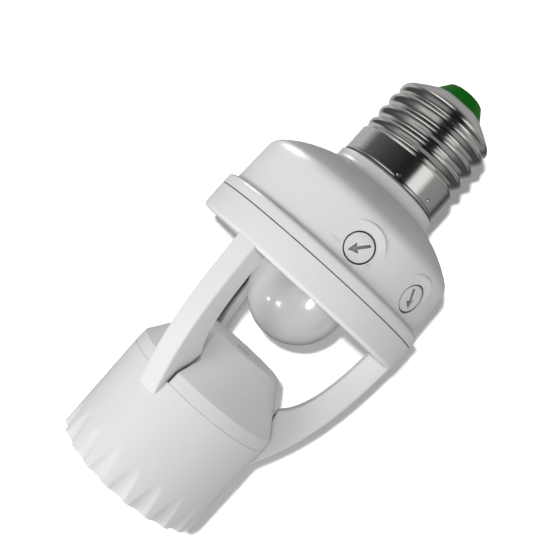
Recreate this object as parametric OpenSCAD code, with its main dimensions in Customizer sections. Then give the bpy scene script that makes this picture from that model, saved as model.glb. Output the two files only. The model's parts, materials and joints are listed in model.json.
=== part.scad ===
// Motion sensor lamp holder: a screw cap, a round sensor housing with a dome lens
// under it, and a lamp socket that hangs from the housing on three curved arms.
// It stands on the rim of its socket, with +Z up to the screw cap. Sizes are in mm.

/* [Socket cup] */
// Radius of the cup at its mouth
cup_mouth_r = 19.05; // [18.8:0.05:19.6]
// Radius of the cup at its seam with the roof
cup_top_r = 19.4; // [19.2:0.05:20.4]
// Height of the cup, from the mouth to the seam with the roof
cup_h = 24.9; // [24:0.1:28]
// Thickness of the cup's outer wall
cup_wall = 2; // [1.6:0.1:2.2]
// Number of finger flutes round the mouth
flute_count = 20; // [12:1:24]
// Depth of a flute at the mouth
flute_depth = 1; // [0.5:0.1:1.2]
// Height at which a flute runs out
flute_h = 10.2; // [6:0.2:14]
// Radius of a flute's hollow
flute_r = 3.4; // [2.6:0.1:4]
// Radius of the plain entrance that guides the lamp
entry_r = 15.4; // [15.2:0.1:15.8]
// Depth of the plain entrance
entry_h = 6.5; // [5:0.5:8]

/* [Socket roof] */
// Height of the upright band at the foot of the roof
roof_band_h = 3; // [2:0.5:4]
// Height of the whole roof above the seam
roof_h = 14.5; // [13:0.5:16]
// Radius of the flat top of the roof
roof_top_r = 11.3; // [10:0.1:12]
// Thickness of the roof
roof_wall = 1.6; // [1.2:0.1:2]

/* [Arms] */
// Width of an arm
arm_w = 5.4; // [4.8:0.1:6]
// Thickness of an arm's outer wall
arm_wall = 1.7; // [1.4:0.1:2]
// Thickness of an arm's two side walls
arm_side_wall = 1.2; // [1:0.1:1.4]
// Radial depth of an arm where it leaves the flange
arm_depth = 5.6; // [4.8:0.1:6.2]
// Added width of the wiring arm, for its lead duct
duct_w = 3.2; // [2.6:0.1:3.4]
// Clear height between the seam of the cup and the flange
window_h = 33.2; // [32:0.2:38]

/* [Flange and housing] */
// Radius of the flange
flange_r = 28.65; // [28.4:0.05:30]
// Height of the flange's lower band
flange_low_h = 6.6; // [6.2:0.1:8]
// Height of the flange's upper band
flange_up_h = 2.9; // [2.4:0.1:4]
// Radius of the drum at its foot
drum_foot_r = 26.95; // [26.6:0.05:27.2]
// Radius of the drum at its crease
drum_top_r = 26.55; // [26.2:0.05:26.9]
// Height of the drum above the flange
drum_h = 12; // [11.5:0.5:15]
// Rise of the domed shoulder
shoulder_h = 6.9; // [6:0.1:8]
// Radius of the neck
neck_r = 13.5; // [13.3:0.1:14.2]
// Height of the neck
neck_h = 3.2; // [2.4:0.2:5]
// Thickness of the housing's walls
wall = 2; // [1.6:0.1:2.2]

/* [Lens and sensors] */
// Radius of the dome lens
lens_r = 12; // [11:0.1:12.4]
// Thickness of the lens
lens_wall = 0.8; // [0.6:0.1:1]
// Sideways place of the lens
lens_x = 1.5; // [0:0.1:2]
// Radius of the sensor's can
can_r = 4.6; // [4:0.1:4.8]

/* [Circuit board] */
// Thickness of the board
board_t = 1.6; // [1.2:0.1:2]
// Gap between the floor and the board
board_lift = 2.5; // [2.2:0.1:3]
// Distance of the housing screws from the axis
screw_ring_r = 21; // [20.6:0.1:21.2]
// Radius of a housing screw's shank
screw_r = 1.3; // [1:0.1:1.4]

/* [Trim knobs] */
// Radius of a trim knob
knob_r = 3.15; // [2.8:0.05:3.3]
// Height of the knobs above the flange
knob_rise = 4.5; // [4.2:0.1:6]
// Bearing of the time knob from the front
time_bearing = 8.3; // [6:0.1:10]
// Bearing of the light knob from the front
light_bearing = 46.8; // [45:0.1:50]
// Angle of the time knob's arrow
time_arrow = 229; // [0:1:360]
// Angle of the light knob's arrow
light_arrow = 306; // [0:1:360]

/* [Screw cap] */
// Radius of the plain skirt and over the crests of the thread
cap_r = 13.1; // [13:0.01:13.15]
// Distance from one turn to the next, seven turns to the inch
thread_pitch = 3.629; // [3.5:0.001:3.75]
// Depth of the cap's rounded thread
thread_depth = 0.95; // [0.7:0.05:1.05]
// Thickness of the cap's sheet
cap_sheet = 0.35; // [0.3:0.01:0.4]
// Height of the plain skirt
skirt_h = 6.2; // [5.4:0.2:9]
// Length of the cap's thread
cap_thread_h = 14; // [12:0.2:16]
// Height of the cone over the thread
cap_cone_h = 4; // [3.6:0.1:5]
// Radius of the insulator's foot
insulator_r = 6.85; // [6.4:0.05:7.2]
// Height of the insulator over the cone
insulator_h = 3.1; // [2.6:0.1:4.5]

/* [Socket shell] */
// Radius inside the crests of the socket's thread
shell_in_r = 12.3; // [12.2:0.02:12.4]
// Thickness of the shell's sheet
shell_sheet = 0.3; // [0.26:0.01:0.34]
// Length of the shell
shell_h = 14.4; // [13:0.1:15]

/* [Clearances] */
// Running clearance of a knob's stem on its radius
run_gap = 0.05; // [0.02:0.01:0.1]
// Gap between a fixed piece and its seat
fit_gap = 0.15; // [0.1:0.01:0.2]
// Gap between the roof and the arms
roof_gap = 0.6; // [0.3:0.05:0.7]
// Gap round the knobs
slot_gap = 0.3; // [0.3:0.01:0.5]

/* [Hidden] */
$fn = 96;
eps = 0.01;

// Bearings are turned from the front, -Y, towards the right, +X
arm_bearings = [-30, 90];
duct_bearing = 210;
screw_bearings = [27.5, 147.5, 267.5];

// Levels, from the mouth up
floor_z = cup_h + window_h;
floor_top_z = floor_z + wall;
seam_z = floor_z + flange_low_h;
drum_z = seam_z + flange_up_h;
crease_z = drum_z + drum_h;
neck_z = crease_z + shoulder_h;
skirt_z = neck_z + neck_h;
thread_z = skirt_z + skirt_h;
cone_z = thread_z + cap_thread_h;
insulator_z = cone_z + cap_cone_h;
tip_z = insulator_z + insulator_h;
board_z = floor_top_z + board_lift;
board_top_z = board_z + board_t;
knob_z = drum_z + knob_rise;
roof_top_z = cup_h + roof_h;
roof_band_z = cup_h + roof_band_h;

// Socket inside the cup
flute_phase = -90 + 1.5;
edge_round = 1;
sleeve_in_r = shell_in_r + thread_depth + shell_sheet + 0.55;
sleeve_wall = 1.5;
sleeve_out_r = sleeve_in_r + sleeve_wall;
shell_z = entry_h + fit_gap;
shell_top_z = shell_z + shell_h;
bracket_t = 0.7;
base_z = shell_top_z + bracket_t;
base_r = sleeve_in_r + 1;
base_h = 5;
base_top_z = base_z + base_h;
channel_w = 9;
channel_depth = 1.6;
bracket_screw_y = 9.2;
bracket_screw_r = 0.95;

// Arms
arm_top_r = flange_r - 0.25;
arm_lean = 3.5;
arm_tuck = 27;
arm_hook = 50;
arm_foot_z = cup_h - 4.3;
root_r = (roof_top_r + cup_top_r) / 2 + 0.75;
root_z = cup_h + 9.2;
arm_steps = 14;
channel_half = arm_w / 2 - arm_side_wall;
duct_shift = 0.9;
duct_step = 1.9;
duct_step_depth = 1.2;

// Housing
spigot_r = flange_r - wall - fit_gap;
spigot_h = 2;
boss_r = 2.8;
boss_h = 7;
cap_boss_r = cap_r - cap_sheet - 0.25;
cap_boss_h = 6;
neck_gap = 0.5;
lens_rim_r = lens_r + 1.9;
lens_rim_h = 1;
lens_z = floor_z - 0.8;

// Trim knobs
knob_sink = 0.17;
knob_face_r = drum_foot_r + (drum_top_r - drum_foot_r) * knob_rise / drum_h - knob_sink;
knob_t = 2.2;
arrow_depth = 0.5;
surround_r = knob_r + 2.2;
surround_w = 0.5;
surround_open = 1.4;
trimmer_w = 6;
trimmer_t = 4.6;
trimmer_r = min(knob_face_r - knob_t, drum_foot_r - wall) - 0.5;
trimmer_cap_h = 3.4;
seat_depth = 3.5;
stem_r = 1.5;
stem_h = knob_face_r - knob_t - trimmer_r + seat_depth;

// Parts on the board: length along X, width along Y, height, and the place of a corner
relay_l = 19.2;
relay_w = 15.2;
relay_h = 14.6;
relay_at = [-11.6, 3.4];
film_l = 5.6;
film_w = 13;
film_h = 11;
film_at = [12.4, 1.2];
smoothing_r = 4;
smoothing_h = 11.5;
smoothing_at = [-14, -6];
rectifier_l = 6.4;
rectifier_w = 4.6;
rectifier_h = 2.6;
rectifier_at = [-8.6, -14.4];
chip_l = 8.7;
chip_w = 3.9;
chip_h = 1.5;
chip_at = [2, -8.4];
can_h = 4.2;
cell_r = 2.2;
cell_h = 2;

// Leads: stations along the duct as [distance from the axis, height]
lead_r = 0.75;
lead_sides = 8;
lead_levels = [[arm_top_r - 3.5, board_z], [arm_top_r - 3.5, floor_z], [arm_top_r - 3.7, floor_z - 8],
               [arm_top_r - 4.4, root_z + 10], [root_r + 6.9, root_z + 5], [root_r + 5.3, root_z + 1],
               [root_r + 3.6, root_z - 2.2], [root_r + 1.3, root_z - 4.1], [root_r - 1.6, root_z - 4.7],
               [root_r - 5.1, root_z - 4.7], [9.2, base_top_z + 2.2], [8.6, base_top_z + 1],
               [8.6, base_top_z]];

// A cubic curve between two ends with two handles
function curve(a, b, c, d, n) = [
    for (i = [0:n]) let (t = i / n, s = 1 - t)
        s * s * s * a + 3 * s * s * t * b + 3 * s * t * t * c + t * t * t * d];
function polar(r, a) = [r * cos(a), r * sin(a)];
function arc(c, r, a0, a1, n) = [for (i = [0:n]) c + polar(r, a0 + (a1 - a0) * i / n)];
function backwards(list) = [for (i = [len(list) - 1:-1:0]) list[i]];

// Radius of the cup's wall at a height
function cup_r(z) = cup_mouth_r + (cup_top_r - cup_mouth_r) * z / cup_h;

// Radius of the housing's inner wall at a height beside the circuit board
function housing_in_r(z) =
    let (foot = spigot_r - wall / 2, top = drum_foot_r - wall)
    top + (foot - top) * (drum_z - z) / (drum_z - seam_z + spigot_h);

// Outer and inner edges of an arm, seen from its side
function arm_outer(inset) =
    let (top = [arm_top_r - inset, floor_z], foot = [cup_top_r - inset, arm_foot_z],
         span = floor_z - arm_foot_z)
    curve(top, top - 0.45 * span * [sin(arm_lean), cos(arm_lean)],
          foot + 0.34 * span * [sin(arm_tuck), cos(arm_tuck)], foot, arm_steps);
function arm_inner(inset) =
    let (top = [arm_top_r - arm_depth + inset, floor_z], root = [root_r + inset, root_z],
         span = floor_z - root_z)
    curve(top, top - 0.58 * span * [sin(arm_lean), cos(arm_lean)],
          root + 0.21 * span * [sin(arm_hook), cos(arm_hook)], root, arm_steps);

// Turns a shape from the right, +X, to a bearing
module at_bearing(bearing) {
    rotate([0, 0, bearing - 90]) children();
}

// Turns a shape to the wiring arm, whose wide side faces the front
module at_duct() {
    at_bearing(duct_bearing) mirror([0, 1, 0]) children();
}

// Stands a side view, drawn as [distance from the axis, height], up as a plate
module side_plate(points, from, to) {
    translate([0, to, 0]) rotate([90, 0, 0])
        linear_extrude(height = to - from) polygon(points);
}

// Lays a shape that was drawn along +Z out along a bearing, at a knob's height
module at_knob(bearing) {
    at_bearing(bearing) translate([0, 0, knob_z]) rotate([0, 90, 0]) rotate([0, 0, 90])
        children();
}

// A round lead through stations, each ring square to the bisector of its two runs
module lead(points, r) {
    n = len(points);
    dirs = [for (i = [0:n - 1])
        let (a = points[max(i - 1, 0)], b = points[min(i + 1, n - 1)]) (b - a) / norm(b - a)];
    side = [for (d = dirs) let (s = cross(d, abs(d.y) > 0.9 ? [1, 0, 0] : [0, 1, 0])) s / norm(s)];
    rings = [for (i = [0:n - 1]) for (k = [0:lead_sides - 1])
        let (a = 360 * k / lead_sides, up = cross(side[i], dirs[i]))
        points[i] + r * (cos(a) * side[i] + sin(a) * up)];
    walls = [for (i = [0:n - 2]) for (k = [0:lead_sides - 1])
        let (j = (k + 1) % lead_sides)
        [i * lead_sides + k, i * lead_sides + j, (i + 1) * lead_sides + j, (i + 1) * lead_sides + k]];
    foot = [for (k = [lead_sides - 1:-1:0]) k];
    top = [for (k = [0:lead_sides - 1]) (n - 1) * lead_sides + k];
    polyhedron(points = rings, faces = concat(walls, [foot, top]), convexity = 6);
}

// A rolled thread in sheet: rows of points round the axis, from a radius at each height.
// The wave fades in and out over half a turn at its two ends.
function fade(z, low, high, run) = max(0, min(1, (z - low) / run, (high - z) / run));
module rolled_sheet(heights, base_radius, sheet, depth, low, high, phase, sides) {
    n = len(heights);
    wave = [for (i = [0:n - 1]) for (k = [0:sides - 1])
        let (a = 360 * k / sides,
             turn = (heights[i] - low) / thread_pitch - (a - phase) / 360,
             cut = depth * (0.5 - 0.5 * cos(360 * turn)))
        base_radius[i] - cut * fade(heights[i], low, high, thread_pitch / 2)];
    outer = [for (i = [0:n - 1]) for (k = [0:sides - 1])
        let (a = 360 * k / sides, r = wave[i * sides + k]) [r * cos(a), r * sin(a), heights[i]]];
    inner = [for (i = [0:n - 1]) for (k = [0:sides - 1])
        let (a = 360 * k / sides, r = wave[i * sides + k] - sheet)
        [r * cos(a), r * sin(a), heights[i]]];
    shift = n * sides;
    skins = [for (i = [0:n - 2]) for (k = [0:sides - 1])
        let (j = (k + 1) % sides, a = i * sides + k, b = i * sides + j,
             c = b + sides, d = a + sides)
        each [[a, d, c], [a, c, b], [a + shift, c + shift, d + shift],
              [a + shift, b + shift, c + shift]]];
    ends = [for (k = [0:sides - 1])
        let (j = (k + 1) % sides, t = (n - 1) * sides)
        each [[k, j, j + shift], [k, j + shift, k + shift],
              [t + k, t + k + shift, t + j + shift], [t + k, t + j + shift, t + j]]];
    polyhedron(points = concat(outer, inner), faces = concat(skins, ends), convexity = 10);
}

// Lower frame: flange band, three arms and the cup, moulded in one piece
module lower_frame() {
    color("whitesmoke") difference() {
        union() {
            flange_band();
            for (b = arm_bearings) at_bearing(b) arm_body(-arm_w / 2, arm_w / 2);
            at_duct() duct_arm_body();
            cup_body();
            for (b = screw_bearings) at_bearing(b) translate([screw_ring_r, 0, floor_z + eps])
                cylinder(r = boss_r, h = board_z - floor_z - eps);
        }
        for (b = arm_bearings) at_bearing(b)
            arm_channel(-channel_half, channel_half, floor_z + 0.6);
        at_duct()
            arm_channel(-channel_half, channel_half + duct_shift, floor_top_z + eps);
        flutes();
        translate([lens_x, 0, floor_z - eps]) cylinder(r = lens_r + fit_gap, h = wall + 1);
        for (b = screw_bearings) at_bearing(b) translate([screw_ring_r, 0, floor_z - eps]) {
            cylinder(r = screw_r + fit_gap, h = board_lift + wall + 1);
            cylinder(r = screw_r * 1.7 + fit_gap, h = wall + eps);
        }
    }
}

module flange_band() {
    rotate_extrude() polygon(concat(
        [[lens_r - 2, floor_top_z], [lens_r - 2, floor_z]],
        arc([flange_r - edge_round, floor_z + edge_round], edge_round, 270, 360, 6),
        [[flange_r, seam_z - 0.15], [flange_r - 0.2, seam_z], [flange_r - wall, seam_z],
         [flange_r - wall, floor_top_z]]));
}

module arm_body(from, to) {
    intersection() {
        side_plate(concat([[arm_top_r, floor_z + wall / 2]], arm_outer(0),
                          [[cup_top_r - cup_wall / 2, arm_foot_z],
                           [cup_top_r - cup_wall / 2, cup_h - 1], [root_r + 1, cup_h + 0.4]],
                          backwards(arm_inner(0)),
                          [[arm_top_r - arm_depth, floor_z + wall / 2]]), from, to);
        cylinder(r = flange_r - 0.1, h = floor_z + wall);
    }
}

// The wiring arm is wider on one side, with a stepped edge beside its duct
module duct_arm_body() {
    arm_body(-arm_w / 2, arm_w / 2 + duct_w - duct_step);
    intersection() {
        arm_body(arm_w / 2, arm_w / 2 + duct_w);
        side_plate(concat(arm_outer(-1), [[root_r, arm_foot_z], [root_r, root_z]],
                          backwards(arm_inner(duct_step_depth))), 0, arm_w * 2);
    }
}

// Hollow of an arm, open towards the axis
module arm_channel(from, to, top) {
    foot_z = cup_h + 0.3;
    mouth_r = arm_top_r - arm_depth - 0.5;
    side_plate(concat([[arm_top_r - arm_wall, top], [arm_top_r - arm_wall, floor_z - eps]],
                      [for (p = arm_outer(arm_wall)) if (p.y > foot_z && p.y < floor_z - 1) p],
                      [[cup_top_r - cup_wall, foot_z], [root_r - 4, foot_z], [root_r - 4, root_z + 8],
                       [mouth_r, root_z + 12], [mouth_r, top]]), from, to);
}

module cup_body() {
    void_r = cup_top_r - cup_wall;
    rotate_extrude() polygon(concat(
        arc([cup_mouth_r - 0.5, 0.5], 0.5, 270, 360, 4),
        [[cup_top_r, cup_h - 0.15], [cup_top_r - 0.2, cup_h], [void_r, cup_h],
         [cup_r(entry_h + 1) - cup_wall, entry_h + 1], [sleeve_out_r, entry_h + 1], [sleeve_out_r, base_z],
         [sleeve_in_r, base_z], [sleeve_in_r, entry_h], [entry_r, entry_h]],
        arc([entry_r + edge_round, edge_round], edge_round, 180, 270, 6)));
}

module flutes() {
    lean = atan((flute_depth + cup_top_r - cup_mouth_r) / (flute_h + cup_h * 0.1));
    for (i = [0:flute_count - 1])
        rotate([0, 0, flute_phase + 360 * i / flute_count])
            translate([cup_mouth_r - flute_depth + flute_r, 0, 0])
                rotate([0, lean, 0]) translate([0, 0, -2])
                    linear_extrude(height = flute_h + 6) polygon(arc([0, 0], flute_r, 120, 240, 8));
}

// Socket roof: a separate conical cover, slotted for the arms
module socket_roof() {
    cone_top = [roof_top_r, roof_top_z];
    cone_foot = [cup_top_r - 0.15, roof_band_z];
    slot_half = arm_w / 2 + roof_gap;
    hollow_z = max(roof_band_z - 0.6, base_top_z + fit_gap);
    color("gainsboro") difference() {
        rotate_extrude() polygon([
            [0, roof_top_z], cone_top - [0.5, 0], cone_top - [-0.2, 0.4],
            cone_foot + [-0.15, 0.3], cone_foot - [0, 0.2],
            [cup_top_r, cup_h + 0.3], [cup_top_r - 0.3, cup_h],
            [cup_top_r - cup_wall - fit_gap, cup_h],
            [cup_top_r - cup_wall - fit_gap, cup_h - 1.5],
            [sleeve_out_r + fit_gap, cup_h - 1.5], [base_r + 0.8, hollow_z],
            [roof_top_r - 1, roof_top_z - roof_wall], [0, roof_top_z - roof_wall]]);
        for (b = arm_bearings) at_bearing(b) roof_slot(-slot_half, slot_half);
        at_duct() roof_slot(-slot_half, slot_half + duct_w);
        at_duct() translate([root_r - 4, -3, base_top_z]) cube([5, 6.4, 5]);
        translate([0.7, -4.2, roof_top_z]) cube([3.2, 3.6, roof_wall * 3], center = true);
    }
}

module roof_slot(from, to) {
    translate([root_r - roof_gap, from, cup_h - 3]) cube([10, to - from, roof_h + 6]);
}

// Upper housing: flange band, drum, domed shoulder and neck, moulded in one piece
module upper_housing() {
    shoulder_dir = atan2(neck_z - crease_z, drum_top_r - neck_r);
    reach = norm([drum_top_r - neck_r, neck_z - crease_z]);
    dome = curve([drum_top_r, crease_z],
                 [drum_top_r, crease_z] + 0.33 * reach * [-cos(shoulder_dir + 14), sin(shoulder_dir + 14)],
                 [neck_r, neck_z] + 0.33 * reach * [cos(shoulder_dir - 16), -sin(shoulder_dir - 16)],
                 [neck_r, neck_z], 10);
    inside = [for (p = backwards(dome)) [p.x - wall * 0.55, p.y - wall]];
    color("whitesmoke") difference() {
        union() {
            rotate_extrude() polygon(concat(
                [[spigot_r, seam_z - spigot_h], [spigot_r, seam_z], [flange_r - 0.2, seam_z],
                 [flange_r, seam_z + 0.15]],
                arc([flange_r - edge_round, drum_z - edge_round], edge_round, 0, 90, 6),
                [[drum_foot_r + 0.35, drum_z], [drum_foot_r, drum_z + 0.35]], dome,
                [[neck_r, skirt_z - neck_gap], [cap_boss_r, skirt_z - neck_gap],
                 [cap_boss_r, skirt_z + cap_boss_h],
                 [4, skirt_z + cap_boss_h], [4, skirt_z + cap_boss_h - wall],
                 [cap_boss_r - wall, skirt_z + cap_boss_h - wall]], inside,
                [[drum_foot_r - wall, drum_z], [spigot_r - wall / 2, seam_z - spigot_h]]));
            for (b = screw_bearings) at_bearing(b) {
                translate([screw_ring_r, 0, board_top_z]) cylinder(r = boss_r, h = boss_h);
                translate([screw_ring_r, -wall / 2, seam_z + 1])
                    cube([drum_foot_r - wall / 2 - screw_ring_r, wall, boss_h - 2]);
            }
            intersection() {
                for (b = [time_bearing, light_bearing]) at_knob(b) knob_surround();
                cylinder(r = knob_face_r + 0.42, h = neck_z);
            }
        }
        for (b = [time_bearing, light_bearing]) at_knob(b)
            cylinder(r = knob_r + slot_gap, h = flange_r);
        for (b = screw_bearings) at_bearing(b)
            translate([screw_ring_r, 0, board_top_z - eps]) cylinder(r = screw_r + run_gap, h = boss_h - 1);
    }
}

// Raised arc over a knob, open at its foot
module knob_surround() {
    rise = knob_face_r - 1;
    difference() {
        translate([0, 0, rise]) cylinder(r = surround_r, h = 3);
        translate([0, 0, rise - 1]) cylinder(r = surround_r - surround_w, h = 5);
        translate([-surround_r - 1, -surround_open - 2 * surround_r, rise - 1])
            cube([surround_r * 2 + 2, surround_r * 2, 5]);
    }
}

// Screw cap: skirt, rolled thread and cone, drawn from one sheet
module cap_shell() {
    rows = 36;
    lap = 0.4;
    top_drop = 0.6;
    cone_steps = [0.12, 0.3, 0.55, 0.8, 1];
    cone_run = cap_r - insulator_r - top_drop;
    heights = concat([thread_z - lap], [for (i = [1:rows]) thread_z + cap_thread_h * i / rows],
                     [for (t = cone_steps) cone_z + cap_cone_h * t]);
    radii = concat([cap_r - 0.12], [for (i = [1:rows]) cap_r - top_drop * pow(i / rows, 8)],
                   [for (t = cone_steps) cap_r - top_drop - cone_run * pow(t, 1.15)]);
    color("silver") {
        difference() {
            translate([0, 0, skirt_z]) cylinder(r = cap_r, h = skirt_h);
            translate([0, 0, skirt_z - eps]) cylinder(r = cap_r - cap_sheet, h = skirt_h + 1);
        }
        rolled_sheet(heights, radii, cap_sheet, thread_depth, thread_z, cone_z - 0.4, -63, 40);
    }
}

module cap_insulator() {
    color("green") rotate_extrude() polygon([
        [1, insulator_z - 3], [insulator_r - cap_sheet - fit_gap, insulator_z - 3],
        [insulator_r - cap_sheet - fit_gap, insulator_z], [insulator_r, insulator_z],
        [insulator_r - 1.5, tip_z - 1], [insulator_r - 2, tip_z - 0.3],
        [insulator_r - 2.6, tip_z], [1, tip_z]]);
}

module cap_contact() {
    contact_r = 3.4;
    ball_r = 7.6;
    sink = sqrt(ball_r * ball_r - contact_r * contact_r);
    color("goldenrod") {
        intersection() {
            translate([0, 0, tip_z - sink]) sphere(r = ball_r);
            translate([0, 0, tip_z]) cylinder(r = contact_r, h = 3);
        }
        translate([0, 0, insulator_z - 3]) cylinder(r = 1 - run_gap, h = tip_z - insulator_z + 3 + eps);
    }
}

// Lens: a dome with a short collar and a rim that lies on the floor of the flange
module lens_dome() {
    color("ivory") translate([lens_x, 0, 0]) difference() {
        union() {
            intersection() {
                translate([0, 0, lens_z]) sphere(r = lens_r);
                translate([0, 0, lens_z - lens_r]) cylinder(r = lens_r + 1, h = lens_r);
            }
            translate([0, 0, lens_z]) cylinder(r = lens_r, h = floor_top_z - lens_z + lens_rim_h);
            translate([0, 0, floor_top_z]) cylinder(r = lens_rim_r, h = lens_rim_h);
        }
        translate([0, 0, lens_z]) sphere(r = lens_r - lens_wall);
        translate([0, 0, lens_z]) cylinder(r = lens_r - lens_wall, h = board_z);
    }
}

module circuit_board() {
    board_r = min(housing_in_r(board_z), housing_in_r(board_top_z)) - 0.33;
    color("darkgreen") difference() {
        translate([0, 0, board_z]) cylinder(r = board_r, h = board_t);
        for (b = screw_bearings) at_bearing(b)
            translate([screw_ring_r, 0, board_z - 1]) cylinder(r = screw_r + fit_gap, h = board_t + 2);
    }
}

module pir_sensor() {
    color("silver") translate([lens_x, 0, board_z - can_h]) {
        cylinder(r = can_r, h = can_h);
        translate([0, 0, can_h - 0.8]) cylinder(r = can_r + 0.4, h = 0.8);
    }
}

module pir_window() {
    color("dimgray") translate([lens_x - 2, -1.5, board_z - can_h - 0.4]) cube([4, 3, 0.4]);
}

module light_sensor() {
    color("sandybrown") translate([lens_x, -can_r - cell_r - 0.8, board_z - cell_h])
        cylinder(r = cell_r, h = cell_h);
}

module relay() {
    color("royalblue") translate(concat(relay_at, board_top_z)) cube([relay_l, relay_w, relay_h]);
}

module film_capacitor() {
    color("gold") translate(concat(film_at, board_top_z)) cube([film_l, film_w, film_h]);
}

module smoothing_capacitor() {
    color("black") translate(concat(smoothing_at, board_top_z)) cylinder(r = smoothing_r, h = smoothing_h);
}

module bridge_rectifier() {
    color("dimgray") translate(concat(rectifier_at, board_top_z))
        cube([rectifier_l, rectifier_w, rectifier_h]);
}

module control_chip() {
    color("black") translate(concat(chip_at, board_top_z)) cube([chip_l, chip_w, chip_h]);
}

// Trimmer: an upright body on the board with a round seat for its knob's stem
module trimmer(bearing) {
    difference() {
        at_bearing(bearing) translate([trimmer_r - trimmer_t, -trimmer_w / 2, board_top_z])
            cube([trimmer_t, trimmer_w, knob_z + trimmer_cap_h - board_top_z]);
        at_knob(bearing) translate([0, 0, knob_face_r - knob_t - stem_h])
            cylinder(r = stem_r + run_gap, h = stem_h + knob_t);
    }
}

module time_trimmer() {
    color("steelblue") trimmer(time_bearing);
}

module light_trimmer() {
    color("steelblue") trimmer(light_bearing);
}

// Trim knob: a disc flush with the drum, a stem, and an arrow sunk into its face
module trim_knob(bearing, arrow) {
    shaft = 0.42;
    reach = knob_r - 0.75;
    at_knob(bearing) difference() {
        union() {
            translate([0, 0, knob_face_r - knob_t]) cylinder(r = knob_r, h = knob_t);
            translate([0, 0, knob_face_r - knob_t - stem_h + run_gap])
                cylinder(r = stem_r, h = stem_h + eps);
        }
        translate([0, 0, knob_face_r - arrow_depth]) rotate([0, 0, arrow])
            linear_extrude(height = arrow_depth + 1) polygon([
                [-reach, -shaft], [reach - 1.9, -shaft], [reach - 2.1, -shaft - 0.8], [reach, 0],
                [reach - 2.1, shaft + 0.8], [reach - 1.9, shaft], [-reach, shaft]]);
    }
}

module time_knob() {
    color("whitesmoke") trim_knob(time_bearing, time_arrow);
}

module light_knob() {
    color("whitesmoke") trim_knob(light_bearing, light_arrow);
}

module housing_screws() {
    head_h = 1.6;
    length = board_top_z + boss_h - 2 - floor_z;
    color("gray") for (b = screw_bearings) at_bearing(b)
        translate([screw_ring_r, 0, floor_z + wall - head_h]) difference() {
            union() {
                cylinder(r = screw_r * 1.7, h = head_h);
                cylinder(r = screw_r, h = length - wall + head_h);
            }
            for (turn = [0, 90]) rotate([0, 0, turn])
                cube([screw_r * 2, 0.5, head_h], center = true);
        }
}

// Socket base: a disc of insulator with a channel for the centre contact
module socket_base() {
    color("lightgray") difference() {
        translate([0, 0, base_z]) cylinder(r = base_r, h = base_h);
        translate([-base_r, -channel_w / 2, base_z - eps]) cube([base_r * 2, channel_w, channel_depth + eps]);
        for (s = [-1, 1]) translate([0, s * bracket_screw_y, base_z - eps])
            cylinder(r = bracket_screw_r + run_gap, h = 3);
    }
}

// Socket shell: a rolled thread in thin sheet with a plain rim at each end
module socket_shell() {
    rows = 30;
    top_r = shell_in_r + thread_depth + shell_sheet;
    heights = [for (i = [0:rows]) shell_z + shell_h * i / rows];
    color("silver") rolled_sheet(heights, [for (h = heights) top_r], shell_sheet, thread_depth,
                                 shell_z + 0.4, shell_top_z - 0.4, 20, 32);
}

module centre_contact() {
    leaf_l = 18;
    leaf_w = 5.2;
    leaf_t = 0.6;
    leaf_z = base_z + channel_depth - leaf_t;
    dome_r = 3.5;
    color("goldenrod") {
        translate([-leaf_l / 2, -leaf_w / 2, leaf_z]) cube([leaf_l, leaf_w, leaf_t]);
        intersection() {
            translate([0, 0, leaf_z + 1.2]) sphere(r = dome_r + 0.6);
            translate([0, 0, leaf_z - 4]) cylinder(r = dome_r, h = 4 + eps);
        }
    }
}

// Bracket: a flat segment between the shell's rim and the base
module shell_bracket(side) {
    inner = channel_w / 2 + 0.4;
    rim_r = sleeve_in_r - fit_gap;
    color("silver") difference() {
        intersection() {
            translate([0, 0, shell_top_z]) cylinder(r = rim_r, h = bracket_t);
            translate([-rim_r, side > 0 ? inner : -rim_r - inner, shell_top_z])
                cube([rim_r * 2, rim_r, bracket_t]);
        }
        translate([0, side * bracket_screw_y, shell_top_z - 1]) cylinder(r = bracket_screw_r + 0.2, h = 3);
    }
}

module shell_bracket_a() {
    shell_bracket(-1);
}

module shell_bracket_b() {
    shell_bracket(1);
}

module bracket_screws() {
    head_r = 1.9;
    head_h = 1.1;
    color("dimgray") for (s = [-1, 1]) translate([0, s * bracket_screw_y, shell_top_z - head_h])
        difference() {
            union() {
                cylinder(r = head_r, h = head_h);
                cylinder(r = bracket_screw_r, h = head_h + bracket_t + 2.6);
            }
            for (turn = [0, 90]) rotate([0, 0, turn]) cube([2.4, 0.5, 0.9], center = true);
        }
}

// Leads: two from the board up into the cap, two down the duct to the socket base
module supply_lead_live() {
    color("black") lead([[-3, -2, board_top_z], [-3, -2, board_top_z + 3], [-2.4, -1.6, crease_z],
                         [-1, -0.8, neck_z], [0, 0, skirt_z], [0, 0, thread_z + 4],
                         [0, 0, insulator_z - 3]], lead_r);
}

module supply_lead_neutral() {
    high = skirt_z + cap_boss_h;
    color("black") lead([[5, -2, board_top_z], [5, -2, board_top_z + 3], [4.4, -1.6, crease_z],
                         [3, -0.8, neck_z], [2.4, 0, skirt_z], [2.4, 0, high], [3, 0, high + 2],
                         [5, 0, high + 3.2], [8, 0, high + 3.1], [10.1, 0, high + 2.2],
                         [10.6, 0, high + 1], [10.6, 0, high]], lead_r);
}

module lamp_lead(offset, low_offset) {
    points = [for (i = [0:len(lead_levels) - 1])
        [lead_levels[i].x, i < 8 ? offset : low_offset, lead_levels[i].y]];
    color("black") at_bearing(duct_bearing) lead(points, lead_r);
}

module lamp_lead_live() {
    lamp_lead(0.5, 1.6);
}

module lamp_lead_neutral() {
    lamp_lead(-1.35, -2.2);
}

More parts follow.
